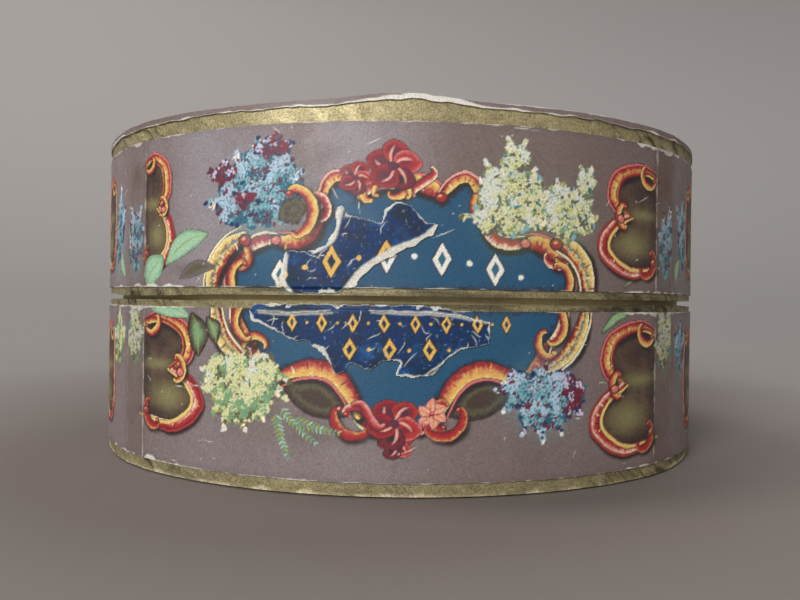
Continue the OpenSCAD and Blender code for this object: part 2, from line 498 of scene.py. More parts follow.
def blossom(page, s, z, width, height, inks, seed, florets=110, sprays=7, grow=1.0, hangs=False):
    """A head of small florets, gathered in clumps, with ragged sprays that reach out of it."""
    def spot(cs, cz):
        return s + cs * width / 2, z + cz * height / 2

    rise = -1 if hangs else 1
    rng = np.random.default_rng(seed)
    under, petal, eye = (inks[k].split() for k in ("under", "petal", "eye"))
    clumps = clump_places(rng, sprays, rise)
    page.stain(s, z - height * 0.08, width * 0.95, height * 0.95, under[0], 0.75)
    for cs, cz, size in clumps:
        for _ in range(int(florets * size * 0.8)):
            angle, reach = rng.uniform(0, 2 * math.pi), size * rng.uniform(0, 1) ** 0.5 * 1.15
            at = spot(cs + reach * math.cos(angle), cz + reach * math.sin(angle))
            touch(page, rng, at, (0.6, 1.3), (0.4, 0.8), under, grow)
    for cs, cz, size in clumps[1:]:
        # A spray: a run of touches that narrows to a pale tip
        out = math.atan2(cz + 0.35 * rise, cs)
        length = rng.uniform(0.3, 0.62)
        for t in np.linspace(0, 1, 14):
            wide = (1 - t) * 0.16
            reach = (size + length * t) * 0.8
            at = spot(cs + reach * math.cos(out) + rng.uniform(-wide, wide),
                      cz + reach * math.sin(out) + rng.uniform(-wide, wide))
            touch(page, rng, at, (0.4, 0.85), (0.25, 0.5), petal + eye[:1], grow)
    for k, (cs, cz, size) in enumerate(clumps):
        for _ in range(int(florets * size * 0.85)):
            angle, reach = rng.uniform(0, 2 * math.pi), size * rng.uniform(0, 1) ** 0.5
            ps, pz = spot(cs + reach * math.cos(angle), cz + reach * math.sin(angle))
            # Lighter towards the upper left of each clump
            lit = 0.5 + 0.5 * math.cos(angle - 2.2) * reach / size
            place = 0.65 * lit * (len(petal) - 1) + rng.uniform(0, 1.4) + 0.5 * (k % 2)
            floret(page, rng, (ps, pz), petal[min(len(petal) - 1, int(place))], grow)
            if rng.uniform() < 0.6:
                page.dab(ps, pz, 0.2 * grow, 0.17 * grow, eye[rng.integers(len(eye))])
            if rng.uniform() < 0.6 * (1.4 - lit):
                at = (ps + rng.uniform(-0.6, 0.6), pz + rng.uniform(-0.6, 0.6))
                touch(page, rng, at, (0.35, 0.8), (0.15, 0.35), eye, grow)


def fern(page, s, z, length, turn, seed):
    """A fern sprig: a stem with pairs of small leaflets."""
    rng = np.random.default_rng(seed)
    t = np.linspace(0, 1, 12)
    path = placed(np.stack([t * length, 0.14 * length * t ** 2], 1), s, z, turn)
    page.stroke(path, 0.14, "sage", line=0, fade=True)
    for k, (ps, pz) in enumerate(path[1:]):
        reach = 0.75 * (1 - 0.6 * k / len(path))
        for hand in (-1, 1):
            a = turn + hand * 52
            page.dab(ps + reach / 2 * math.cos(math.radians(a)),
                     pz + reach / 2 * math.sin(math.radians(a)), reach, 0.2,
                     ("leaf", "sage", "mint")[rng.integers(3)], a)


def corner_cartouche(page, back, z, depth, height, outward, closed=False):
    """A two-lobed dark panel. Its back lies on a corner crease, or has a frame of its own."""
    def at(across, up):
        return back + outward * depth * across, z + height * up

    upper = smooth([at(0, 0.44), at(0.34, 0.5), at(0.78, 0.4), at(0.86, 0.18), at(0.6, 0.02)])
    lower = smooth([at(0.6, 0.02), at(0.92, -0.12), at(1.0, -0.32), at(0.6, -0.5), at(0, -0.46)])
    page.blob(np.vstack([upper, lower[1:]]), "ink umber bark umber bark", core=depth * 0.45,
              curved=False)
    page.stain(*at(0.5, -0.24), depth * 0.7, height * 0.3, "moss", 0.7)
    page.stain(*at(0.3, 0.06), depth * 0.8, height * 0.14, "moss", 0.6)
    page.stain(*at(0.25, 0.3), depth * 0.8, height * 0.2, "ink", 0.6)
    page.stain(*at(0.1, -0.4), depth * 0.7, height * 0.14, "ink", 0.5)
    thick = min(1.5, 0.55 + depth * 0.075)
    way = -1 if outward < 0 else 1
    for half, ink, rim in ((upper, WARM, "rose"), (lower, ROSY if way > 0 else ROSY_BACK, "red")):
        banded(page, half[::way], thick, ink, rim)
    for half, ink in ((upper, "orange crimson wine"), (lower, "gold yellow orange")):
        # A finer moulding inside the frame, drawn in a little towards the panel's middle
        inner = np.stack([half[:, 0] - outward * thick * 0.72, z + 0.97 * (half[:, 1] - z)], 1)
        page.stroke(inner, thick * 0.36, ink, line=0.06)
    if closed:
        spine = arc(at(0, -0.44), at(0, 0.44), height * 0.07 * outward)
        banded(page, spine[::way], thick * 0.8, WARM_BACK, "rose")
    scroll(page, *at(0.7, 0.03), thick * 2.1, 90 * outward, WARM, thick * 0.7, flip=outward < 0)
    knob(page, *at(0.72, 0.0), thick * 0.8, "rose")
    scroll(page, *at(0.2, 0.42), thick * 2.2, 30 * outward, WARM, thick * 0.66, flip=outward > 0)
    scroll(page, *at(0.16, -0.44), thick * 2.6, -50 * outward, HOT, thick * 0.8)
    knob(page, *at(0.06, -0.4), thick * 0.8, "red")


def lozenge_row(page, ink, shade, s0, s1, z, rise, size):
    """A row of lozenges with dots between, on a shallow arch: stands where a name might be."""
    count = int((s1 - s0) / (size * 1.15))
    for k in range(count + 1):
        t = k / count
        ps = s0 + t * (s1 - s0)
        pz = z + rise * (1 - (2 * t - 1) ** 2)
        if k % 2:
            page.dab(ps, pz, size * 0.34, size * 0.34, shade)
            page.dab(ps, pz, size * 0.24, size * 0.24, ink)
            continue
        w, h = size * 0.42, size * 0.72
        outer = [(ps - w, pz), (ps, pz + h), (ps + w, pz), (ps, pz - h)]
        inner = [(ps - w * 0.45, pz), (ps, pz + h * 0.5), (ps + w * 0.45, pz), (ps, pz - h * 0.5)]
        page.blob(outer, ink, line=0.12, curved=False)
        page.blob(inner, shade, curved=False)


def lid_marks(page, ink, shade):
    """Ornament over the blue field of the lid."""
    lozenge_row(page, ink, shade, -12.5, 12.5, 2.4, 2.0, 2.3)


def base_marks(page, ink, shade):
    """Ornament over the blue field of the base, in two smaller rows."""
    lozenge_row(page, ink, shade, -11.0, 11.0, -2.4, 0.0, 1.3)
    lozenge_row(page, ink, shade, -5.0, 5.0, -5.0, 0.0, 1.6)


# ---------------------------------------------------------------- layouts

# The blue panel's bows, right half from the middle out, as (start, end, bulge)
LID_LOBES = [((0, 11.4), (4.0, 10.4), 0.8), ((4.0, 10.4), (8.2, 9.4), 2.6),
             ((8.2, 9.4), (13.0, 6.0), -1.6), ((13.0, 6.0), (16.8, 4.4), 0.7),
             ((16.8, 4.4), (18.2, 0.2), 1.0)]
BASE_LOBES = [((17.6, -0.2), (15.4, -4.6), 0.9), ((15.4, -4.6), (12.6, -8.2), 0.6),
              ((12.6, -8.2), (4.0, -11.6), -2.8), ((4.0, -11.6), (0, -12.4), 0.8)]


def both_halves(lobes):
    """The bows of the right half, with the left half's mirrored, in order round the panel."""
    left = [((-b[0], b[1]), (-a[0], a[1]), bulge) for a, b, bulge in reversed(lobes)]
    return lobes + left if lobes[-1][1][0] == 0 else left + lobes


def narrowed(lobes, share):
    return [((a[0] * share, a[1]), (b[0] * share, b[1]), bulge) for a, b, bulge in lobes]


def arch_bays(page, share=1.0):
    """The dark hollows under the two low arches of the base panel."""
    for hand in (-1, 1):
        a, b = (12.2 * hand * share, -9.0), (5.0 * hand * share, -11.8)
        hollow = np.vstack([arc(a, b, -2.4 * hand), arc(b, a, -1.5 * hand)])
        page.blob(hollow, "ink umber olive umber", core=1.3, soft=0.2, curved=False)


def ground(page):
    """Mauve printed ground: lighter and darker drifts, with fine dots."""
    s, z = page.s, page.z
    page.ink[:] = linear("mauve")
    page.wash(0.35 * step(cloud(s, z, 9, page.seed + 31), 1.0), "mauve_light")
    page.wash(0.45 * step(cloud(s, z, 7, page.seed + 41), 1.0), "mauve_brown")
    page.ink *= (1 + 0.17 * page.dots)[:, None]


def front_sheen_and_shade(page):
    """Painted light on the front: a painted sheen in two upright lilac bars, painted shade browning
    it towards its right, and painted shade darkening the base.
    """
    on_lid = 1.0 if page.z.max() > 0.5 else 0.45
    # Painted sheen: two upright lighter bars
    for s, width in ((-22.0, 9.0), (-4.5, 7.0)):
        sheen_bar = np.exp(-((page.s - s) / width * 2) ** 2)
        page.wash(0.6 * on_lid * sheen_bar, "mauve_light")
    # Painted shade, darker towards the right of the front
    page.wash(0.65 * on_lid * step(page.s - 0.5, 6.0), "mauve_brown")
    # Painted shade: the base darker than the lid
    page.wash(0.4 * (1 - on_lid), "mauve_brown")


PANEL = "deep deep field field field"
CREASE = BOW_LENGTH - 0.1


def corner_sprigs(page, z, inks):
    """Narrow sprays of blossom on the corner flats, over a browned ground."""
    for hand in (-1, 1):
        blossom(page, (BOW_LENGTH + 2.4) * hand, z, 3.4, 8.0, inks, page.seed + 5 + hand, 70, 4)
        page.stain((BOW_LENGTH + 2.2) * hand, z + 7.6, 3.0, 4.0, "bark", 0.6)


def front_lid_art(page):
    ground(page)
    front_sheen_and_shade(page)
    page.stain(21.5, 4.2, 7, 4.0, "shade", 0.8)
    page.stain(11.0, 12.5, 9.0, 4.0, "shade", 0.4)
    cartouche(page, both_halves(LID_LOBES), (WARM, ROSY, WARM_BACK), PANEL, 2.4, 1.3)
    for hand in (-1, 1):
        outer = arc((20.8 * hand, 0.2), (16.8 * hand, 6.4), -1.4 * hand)
        banded(page, outer, 2.1, BROAD if hand > 0 else BROAD_BACK, "cream")
        knob(page, 16.6 * hand, 6.0, 1.3, "crimson")
        scroll(page, 17.4 * hand, 2.0, 3.8, 90 * hand, WARM, 0.9, flip=hand < 0)
    wave(page, -3.8, 11.6, 3.6, 24, "yellow gold orange red")
    wave(page, 2.2, 11.8, 3.4, 150, ROSY)
    scroll(page, -1.0, 11.2, 3.6, 180, "gold yellow orange red", 0.7)
    rose(page, -4.6, 12.2, 2.6, -20)
    rose(page, -0.8, 13.4, 4.0, 0)
    blossom(page, -15.0, 11.0, 9.6, 9.4, BLUE_HEAD, 11, 190)
    blossom(page, -19.6, 13.0, 2.6, 2.2, PLUM_HEAD, 18, 26, 3)
    blossom(page, -13.6, 15.6, 3.4, 2.4, PLUM_HEAD, 19, 34, 3)
    blossom(page, -16.8, 10.2, 2.4, 2.2, PLUM_HEAD, 20, 14, 2)
    page.blob(smooth([(-12.9, 8.0), (-12.4, 9.6), (-10.8, 10.4), (-9.6, 9.2), (-10.6, 7.6)]),
              "ink olive umber olive", core=1.2, soft=0.3)
    scroll(page, -10.2, 9.0, 4.8, 100, WARM, 1.1)
    blossom(page, 11.6, 10.0, 7.4, 8.0, CREAM_HEAD, 12, 150, 8)
    blossom(page, 11.8, 14.6, 2.4, 3.6, CREAM_HEAD, 15, 34, 4)
    blossom(page, 18.0, 9.0, 5.6, 5.8, CREAM_HEAD, 13, 100, 7)
    blossom(page, 20.4, 12.6, 1.8, 3.0, CREAM_HEAD, 16, 24, 4)
    leaf(page, 26.0, 1.6, 4.6, 22, "olive sage mint", 0.2)
    page.stain(-25.0, 3.0, 5.0, 1.6, "shade", 0.7)
    corner_cartouche(page, -CREASE, 9.8, 4.8, 12.0, 1)
    corner_cartouche(page, CREASE, 9.2, 9.0, 11.4, -1)
    corner_sprigs(page, 6.4, BLUE_HEAD)
    leaf(page, -25.6, 2.0, 5.4, 14, "shade shade olive", 0.3, "olive")
    leaf(page, -31.6, 1.2, 4.6, 46, "sage mint mint", 0.7)
    leaf(page, -28.0, 3.6, 7.4, 26, "sage mint mint", 0.34)
    lid_marks(page, "white", "teal")


def front_base_art(page):
    ground(page)
    front_sheen_and_shade(page)
    page.stain(-9.0, -13.6, 7.0, 3.4, "shade", 0.8)
    page.stain(-24.0, -4.0, 4.0, 5.0, "olive", 0.7)
    arch_bays(page)
    cartouche(page, both_halves(BASE_LOBES), (ROSY, HOT, WARM_BACK), PANEL, 2.4, 1.35)
    for hand in (-1, 1):
        outer = arc((20.4 * hand, -0.4), (15.8 * hand, -7.0), 1.2 * hand)
        banded(page, outer, 1.8, BROAD_BACK if hand > 0 else BROAD, "cream")
        scroll(page, 16.8 * hand, -2.4, 3.8, 90 * hand, WARM, 0.9, flip=hand < 0)
        scroll(page, 5.0 * hand, -12.6, 4.0, 30 * hand, HOT, 1.0, flip=hand < 0)
    rose(page, -0.2, -14.4, 2.6, -60)
    rose(page, -0.4, -12.4, 4.0, -40)
    petals(page, 3.4, -11.4, 1.6, 6, "rose pink gold")
    wave(page, -3.0, -11.6, 3.6, 60, "wine crimson rose pink")
    blossom(page, -17.2, -8.4, 8.4, 9.2, STRAW_HEAD, 21, 190, 8, hangs=True)
    blossom(page, 15.4, -9.2, 8.2, 8.0, BLUE_HEAD, 22, 190, hangs=True)
    blossom(page, 19.0, -9.0, 2.2, 5.0, PLUM_HEAD, 23, 34, 4, hangs=True)
    fern(page, -12.4, -11.0, 5.2, -50, 41)
    fern(page, -12.8, -11.6, 4.8, -80, 42)
    fern(page, -11.0, -12.2, 5.0, -22, 43)
    leaf(page, 22.6, -3.4, 5.6, 26, "olive sage mint", 0.2)
    corner_cartouche(page, -CREASE, -8.2, 9.2, 11.8, 1)
    corner_cartouche(page, CREASE, -9.4, 9.8, 13.4, -1)
    corner_sprigs(page, -4.4, CREAM_HEAD)
    leaf(page, -30.4, -1.4, 6.4, -6, "sage mint mint", 0.34)
    leaf(page, -23.6, -1.6, 4.8, -78, "ink olive sage", 0.6)
    leaf(page, -21.4, -2.0, 3.2, -66, "ink olive sage", 0.6)
    base_marks(page, "gold", "navy")


def side_lid_art(page):
    ground(page)
    cartouche(page, narrowed(both_halves(LID_LOBES), 0.7), (WARM, ROSY, WARM_BACK), PANEL, 2.0)
    rose(page, 0, 12.8, 3.8, 0)
    blossom(page, -13.6, 10.6, 7.2, 7.0, CREAM_HEAD, page.seed + 1, 80)
    blossom(page, 13.8, 10.4, 7.4, 7.2, BLUE_HEAD, page.seed + 2, 90)
    blossom(page, -27.6, 8.0, 4.6, 8.6, BLUE_HEAD, page.seed + 3, 70, 3)
    blossom(page, 27.8, 7.8, 4.6, 8.6, BLUE_HEAD, page.seed + 4, 70, 3)
    for hand in (-1, 1):
        corner_cartouche(page, 25.0 * hand, 9.4, 6.6, 10.8, -hand, closed=True)
        leaf(page, 17.0 * hand, 2.6, 4.6, 90 - 60 * hand)
        leaf(page, 30.6 * hand, 2.4, 3.6, 90 + 30 * hand)
    lozenge_row(page, "white", "teal", -8.0, 8.0, 2.8, 1.6, 2.1)


def side_base_art(page):
    ground(page)
    arch_bays(page, 0.7)
    cartouche(page, narrowed(both_halves(BASE_LOBES), 0.7), (ROSY, HOT, WARM_BACK), PANEL, 2.0)
    rose(page, 0, -12.8, 3.8, -40)
    blossom(page, -13.8, -10.0, 7.2, 7.0, BLUE_HEAD, page.seed + 1, 90)
    blossom(page, 13.8, -9.8, 7.2, 6.8, STRAW_HEAD, page.seed + 2, 80)
    blossom(page, -27.8, -5.6, 4.6, 6.6, BLUE_HEAD, page.seed + 3, 60, 3)
    blossom(page, 27.8, -5.6, 4.6, 6.6, STRAW_HEAD, page.seed + 4, 60, 3)
    for hand in (-1, 1):
        corner_cartouche(page, 25.0 * hand, -9.4, 6.6, 11.6, -hand, closed=True)
    lozenge_row(page, "gold", "navy", -7.0, 7.0, -3.0, 0.0, 1.5)


def top_art(page):
    """The top sheet: a lobed blue medallion in a wreath of blossoms, leaves and scrolls."""
    ground(page)
    cusps = [(17 * math.cos(-k * math.pi / 4), 17 * math.sin(-k * math.pi / 4)) for k in range(9)]
    for k in range(4):
        angle = math.radians(90 * k + 45)
        cs, cz = 28.5 * math.cos(angle), 28.5 * math.sin(angle)
        for hand in (-1, 1):
            leaf(page, cs, cz, 13.0, math.degrees(angle) + 82 * hand, "olive sage mint mint", 0.34)
            leaf(page, cs, cz, 9.0, math.degrees(angle) + 50 * hand, "sage mint")
        blossom(page, cs, cz, 13, 12, (BLUE_HEAD, CREAM_HEAD, BLUE_HEAD, STRAW_HEAD)[k], 61 + k,
                95, 9, grow=1.9)
        side = math.radians(90 * k)
        cs, cz = 27 * math.cos(side), 27 * math.sin(side)
        for hand in (-1, 1):
            scroll(page, cs - 5 * hand * math.sin(side), cz + 5 * hand * math.cos(side), 9.5,
                   90 * k + 90, (WARM, ROSY_BACK)[k % 2], 1.7, flip=hand < 0)
        rose(page, cs, cz, 6.4, 90 * k)
    lobes = [(a, b, 2.6) for a, b in zip(cusps, cusps[1:])]
    cartouche(page, lobes, (WARM, ROSY), PANEL, 5.0, 2.0)
    petals(page, 0, 0, 7.0, 8, "orange gold yellow cream")
    petals(page, 0, 0, 3.6, 6, "wine red rose", 30)


# ---------------------------------------------------------------- wear

def worn_edges(page, z0, z1, depth):
    """White card shows where the paper's upper and lower edges are rubbed through."""
    reach = np.minimum(page.z - z0, z1 - page.z)
    near_corner = step(np.abs(page.s) - BOW_LENGTH + 9.0, 9.0)
    bite = depth * (0.3 + cloud(page.s, page.z, 1.6, page.seed + 51)) * (0.8 + 1.2 * near_corner)
    page.wash(step(bite - reach, 0.12) * 0.9, "white")
    page.wash(step(0.9 - reach, 1.2) * 0.22, "umber")


def crease_wear_and_shade(page):
    """Pale broken lines where the paper folds round the corners, partly rubbed card and partly a
    painted highlight, with painted shade beside each crease and over the corner flats.
    """
    reach = np.abs(np.abs(page.s) - BOW_LENGTH)
    rub = 0.3 * (0.4 + cloud(page.s, page.z, 1.3, page.seed + 61))
    # Pale line on each crease: rubbed card and a painted highlight
    page.wash(step(rub - reach, 0.15) * 0.7, "card")
    # Painted shade beside each crease
    page.wash(step(1.1 - reach, 1.4) * 0.25, "umber")
    # Painted shade over the corner flats
    page.wash(0.32 * step(np.abs(page.s) - BOW_LENGTH + 2.0, 3.0), "bark")


def scratches(page, low, high, count):
    """Fine pale scratches, and small spots where the print has flaked."""
    rng = np.random.default_rng(page.seed + 71)
    for _ in range(count):
        s, z = rng.uniform(low[0], high[0]), rng.uniform(low[1], high[1])
        a, run = rng.uniform(0, math.pi), rng.uniform(0.6, 3.2)
        end = (s + run * math.cos(a), z + run * math.sin(a) * 0.5)
        page.stroke(smooth([(s, z), end], 4), 0.07, "pearl", line=0, fade=True)
    for _ in range(count * 4):
        size = rng.uniform(0.07, 0.2)
        page.dab(rng.uniform(low[0], high[0]), rng.uniform(low[1], high[1]), size, size, "card")


# ---------------------------------------------------------------- meshes

# Depth that the crown is crushed by, and how much of it has sprung back mid-side
CROWN_CRUSH = 0.72
# The top sheet's points: their spacing round the rim, rings over the top, rings down the fold
SHEET_PITCH = 0.36
FLAT_RINGS = 112
FOLD_RINGS = 7
SPRUNG = {"front": 1.0, "right": 0.35, "back": 0.6, "left": 0.3}
# How far from a corner flat the gold edging is rumpled and worn
CORNER_WEAR = 14.0
# How fast the crushing fades from the crown towards the middle of the top
CRUSH_FADE = 9
# Spacing of the mesh points on each side's wrap
WALL_PITCH = {"front": 0.115, "back": 0.15, "right": 0.17, "left": 0.17}
BRONZE = np.array([0.37, 0.318, 0.17])


def make_mesh(name, points, faces, print_ink=None):
    """A mesh object from millimetre points, with its print in a colour attribute."""
    mesh = bpy.data.meshes.new(name)
    mesh.from_pydata((np.asarray(points) * MM).tolist(), [], faces)
    mesh.validate()
    if print_ink is not None:
        layer = mesh.attributes.new("print", "FLOAT_COLOR", "POINT")
        rgba = np.ones((len(points), 4), np.float32)
        rgba[:, :3] = np.clip(print_ink, 0, 1)
        layer.data.foreach_set("color", rgba.ravel())
    mesh.polygons.foreach_set("use_smooth", np.ones(len(mesh.polygons), bool))
    piece = bpy.data.objects.new(name, mesh)
    bpy.context.scene.collection.objects.link(piece)
    return piece


def sharpen(piece, on_crease):
    """Keeps the folds crisp: every edge between two crease points, and the paper's own edges."""
    mesh = piece.data
    mesh.set_sharp_from_angle(angle=math.radians(40))
    ends = np.zeros(len(mesh.edges) * 2, np.int32)
    mesh.edges.foreach_get("vertices", ends)
    ends = ends.reshape(-1, 2)
    if "sharp_edge" not in mesh.attributes:
        mesh.attributes.new("sharp_edge", "BOOLEAN", "EDGE")
    layer = mesh.attributes["sharp_edge"].data
    sharp = np.zeros(len(mesh.edges), bool)
    layer.foreach_get("value", sharp)
    sharp |= on_crease[ends[:, 0]] & on_crease[ends[:, 1]]
    layer.foreach_set("value", sharp)


def finish_piece(piece, body, slot, material, *nodes):
    piece.data.materials.append(material)
    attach(piece, body)
    if nodes:
        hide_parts(*nodes)
    return piece


def columns_of(side, pitch):
    """Places along a side, with one exactly on each crease."""
    bow = np.linspace(-BOW_LENGTH, BOW_LENGTH, int(2 * BOW_LENGTH / pitch) + 1)
    if side in ("right", "left"):
        return bow
    flat = np.linspace(BOW_LENGTH, BOW_LENGTH + CORNER_FLAT, int(CORNER_FLAT / pitch) + 1)[1:]
    return np.concatenate([-flat[::-1], bow, flat])


def panel_faces(n, rows):
    """Faces of a sheet: an n by rows grid in front, and a foot and a head row behind it."""
    v = np.arange(n * rows).reshape(n, rows)
    w = v.size + np.arange(2 * n).reshape(2, n)
    faces = np.stack([v[:-1, :-1], v[1:, :-1], v[1:, 1:], v[:-1, 1:]], -1).reshape(-1, 4).tolist()
    for i in range(n - 1):
        faces.append([w[0, i], w[1, i], w[1, i + 1], w[0, i + 1]])
        faces.append([v[i, 0], w[0, i], w[0, i + 1], v[i + 1, 0]])
        faces.append([v[i, -1], v[i + 1, -1], w[1, i + 1], w[1, i]])
    faces.append([*v[0, :], w[1, 0], w[0, 0]])
    faces.append([*v[-1, ::-1], w[0, -1], w[1, -1]])
    return [[int(k) for k in f] for f in faces]


def wrap_panel(body, side, wrap, art, seed, material):
    """One side of a printed wrap: a closed sheet of paper with ragged, rubbed edges."""
    low, high = wrap
    pitch = WALL_PITCH[side]
    s = columns_of(side, pitch)
    rows = int((high - low) / pitch) + 1
    ends = step(SIDE_REACH[side] - np.abs(s), 1.0)
    foot = low + 0.05 * (1 + cloud(s, s * 0, 1.4, seed + 81)) * ends
    head = high - 0.05 * (1 + cloud(s, s * 0, 1.4, seed + 91)) * ends
    z = foot[:, None] + (head - foot)[:, None] * np.linspace(0, 1, rows)
    grid = np.broadcast_to(s[:, None], z.shape)
    page = Page(grid, z - SEAM_Z, seed)
    art(page)
    scratches(page, (s[0], low - SEAM_Z), (s[-1], high - SEAM_Z), 12)
    worn_edges(page, low - SEAM_Z, high - SEAM_Z, 0.28)
    crease_wear_and_shade(page)
    inset = 0.02 * (1 + cloud(grid, z, 5, seed + 95)) * ends[:, None]
    x, y = wall_point(side, grid, inset)
    outer = np.stack([x, y, z], 2).reshape(-1, 3)
    ix, iy = wall_point(side, s, np.full(s.size, PAPER))
    inner = np.concatenate([np.stack([ix, iy, foot], 1), np.stack([ix, iy, head], 1)])
    inks = np.vstack([page.ink, np.broadcast_to(linear("card"), inner.shape)])
    piece = make_mesh(body + "_wrap_" + side, np.vstack([outer, inner]),
                      panel_faces(len(s), rows), inks)
    crease = np.isclose(np.abs(s), BOW_LENGTH)
    sharpen(piece, np.concatenate([np.repeat(crease, rows), crease, crease]))
    return finish_piece(piece, body, "printed_paper", material, body + "_litho_wrap")


def ring_faces(v, w):
    """Faces that join the rings of point numbers v to the rings w."""
    return np.stack([v, w, np.roll(w, -1, 1), np.roll(v, -1, 1)], -1).reshape(-1, 4).tolist()


def stack_faces(rings):
    """Faces of a closed solid made of a stack of rings, whose ends are filled."""
    v = np.arange(len(rings) * len(rings[0])).reshape(len(rings), -1)
    return ring_faces(v[:-1], v[1:]) + [v[0].tolist(), v[-1][::-1].tolist()]


def all_round(pitch, value):
    """value(side, s) at every plan point, in order round the box."""
    return np.concatenate([value(side, columns_of(side, pitch)[:-1]) for side in QUARTER_TURNS])


def perimeter(inset, pitch):
    """Plan points all the way round, drawn in by inset, and the distance along at each."""
    xs, ys, runs, start = [], [], [], 0.0
    for side in QUARTER_TURNS:
        s = columns_of(side, pitch)[:-1]
        x, y = wall_point(side, s, np.full(s.size, float(inset)))
        xs.append(x)
        ys.append(y)
        runs.append(s + SIDE_REACH[side] + start)
        start += 2 * SIDE_REACH[side]
    return np.concatenate(xs), np.concatenate(ys), np.concatenate(runs)


def ring_creases(pitch):
    """Which perimeter points lie on a crease."""
    return all_round(pitch, lambda side, s: np.isclose(np.abs(s), BOW_LENGTH))


def corner_nearness(pitch):
    """1 at the corner flats, falling to 0 along the bowed sides."""
    return all_round(pitch, lambda side, s: step(np.abs(s) - BOW_LENGTH + CORNER_WEAR, CORNER_WEAR))


def crown_drop(pitch):
    """How far the crown is crushed down: least at the front's middle, where the sheet has sprung."""
    def drop(side, s):
        return CROWN_CRUSH * (1 - SPRUNG[side] * np.exp(-(s / 5.5) ** 2))

    _, _, run = perimeter(0.0, pitch)
    return (all_round(pitch, drop) - 0.09 * (1 + cloud(run, run * 0, 11, 601))).clip(0)


def bronze_tone(run, z, fold, corner, seed, at_seam):
    """Bronze powder on a fold: a painted highlight where it is rumpled, painted shade along its pleat
    lines, dark in stains, darkest at the seam.
    """
    # Painted highlight on the rumpled gold, strongest near the corners
    light = 0.85 + 0.5 * (fold - 0.3) * (0.3 + corner)
    light = light + 0.14 * cloud(run, z, 0.7, seed + 5)
    light = light - 0.3 * corner * step(cloud(run, z, 4.0, seed + 7), 0.6)
    # Painted shade along the pleat lines
    light = light - 0.4 * (0.25 + corner) * step(0.22 - fold, 0.2)
    light = light - 0.25 * step(cloud(run, 4 * z, 8.0, seed + 8), 0.8)
    if at_seam:
        light = light * (0.8 - 0.45 * step(cloud(run, 14 * z, 11.0, seed + 6), 0.5))
    return BRONZE * light[:, None]


def band_section(loop):
    """A band's closed section, with its face on the wall divided finely enough to rumple."""
    section = []
    for (a, b), (c, d) in zip(loop, loop[1:] + loop[:1]):
        parts = max(1, int(abs(d - b) / 0.18)) if a == c and a == PAPER else 1
        for k in range(parts):
            section.append((a + (c - a) * k / parts, b + (d - b) * k / parts))
    return section


def gold_band(name, loop, rumple, shown, material, seed, lip=None):
    """Gold paper edging all round: loop is its closed section as (inset, z) points.

    lip is (height, reach): the edge at that height wavers, and leans by reach at the corners.
    """
    pitch = 0.22
    corner = corner_nearness(pitch)
    rings, inks = [], []
    for inset, z in band_section(loop):
        x, y, run = perimeter(inset, pitch)
        visible = inset == PAPER and shown[0] <= z <= shown[1]
        fold = np.abs(cloud(run + 1.2 * z, z + run * 0, 2.6, seed)) ** 0.7
        if visible:
            depth = rumple * (2 * fold - 0.7) * (0.15 + corner)
            fade = step(min(z - shown[0], shown[1] - z) + 0.1, 0.3)
            x, y = offset_ring(x, y, (depth * fade).clip(-0.16, 0.15))
        level = np.full(x.size, z)
        if lip and abs(z - lip[0]) < PAPER / 4:
            waver = 0.55 + 0.45 * cloud(run, run * 0, 9.0, seed + 3)
            level = level + lip[1] * (0.15 + 0.85 * corner) * waver
        if name.startswith("lid_crown"):
            level = level - crown_drop(pitch) * np.clip((z - shown[0]) / (TOP_Z - shown[0]), 0, 1)
        rings.append(np.stack([x, y, level], 1))
        inks.append(bronze_tone(run, z + run * 0, fold, corner, seed, bool(lip)))
        if name.startswith("base_foot"):
            low = 0.55 + 0.5 * cloud(run, z + run * 0, 2.4, seed + 9) - z
            rub = 0.8 * step(low, 0.5)[:, None] * (z > PAPER / 2)
            inks[-1] = inks[-1] * (1 - rub) + linear("cream") * rub
    v = np.arange(len(rings) * corner.size).reshape(len(rings), -1)
    piece = make_mesh(name, np.vstack(rings), ring_faces(v, np.roll(v, -1, 0)), np.vstack(inks))
    sharpen(piece, np.tile(ring_creases(pitch), len(rings)))
    body = name.split("_")[0]
    return finish_piece(piece, body, "gold_paper", material, name.replace("_piece", ""))


def offset_ring(x, y, depth):
    """Plan points moved towards the middle by depth."""
    reach = np.hypot(x, y)
    return x * (1 - depth / reach), y * (1 - depth / reach)


def sheet_rings():
    """The top sheet's rings of points: over the top, down the fold, and back beneath."""
    rings = []
    rim_x, rim_y, run = perimeter(0.0, SHEET_PITCH)
    drop = crown_drop(SHEET_PITCH)
    for scale in np.linspace(0.006, 0.994, FLAT_RINGS):
        bow = 0.06 * (1 - scale) * (cloud(rim_x * scale, rim_y * scale, 16, 301) - 1)
        rings.append(np.stack([rim_x * scale, rim_y * scale,
                               TOP_Z - 0.02 + bow - drop * scale ** CRUSH_FADE], 1))
    rings.append(np.stack([rim_x * 0.998, rim_y * 0.998, TOP_Z - 0.05 - drop], 1))
    ragged = 0.16 * (1 + cloud(run, run * 0, 1.7, 311)) + 0.12 * (1 + cloud(run, run * 0, 7, 312))
    for t in np.linspace(0, 1, FOLD_RINGS):
        z = TOP_Z - 0.12 - drop - t * (TOP_Z - 0.12 - SHEET_FOOT - ragged)
        rings.append(np.stack([rim_x, rim_y, z], 1))
    in_x, in_y, _ = perimeter(PAPER, SHEET_PITCH)
    rings.append(np.stack([in_x, in_y, rings[-1][:, 2]], 1))
    for scale in (1.0, 0.94, 0.84, 0.7):
        under = TOP_Z - PAPER - drop * scale ** CRUSH_FADE
        rings.append(np.stack([in_x * scale, in_y * scale, under], 1))
    rings.append(np.stack([in_x * 0.006, in_y * 0.006, np.full(in_x.size, TOP_Z - PAPER)], 1))
    return rings


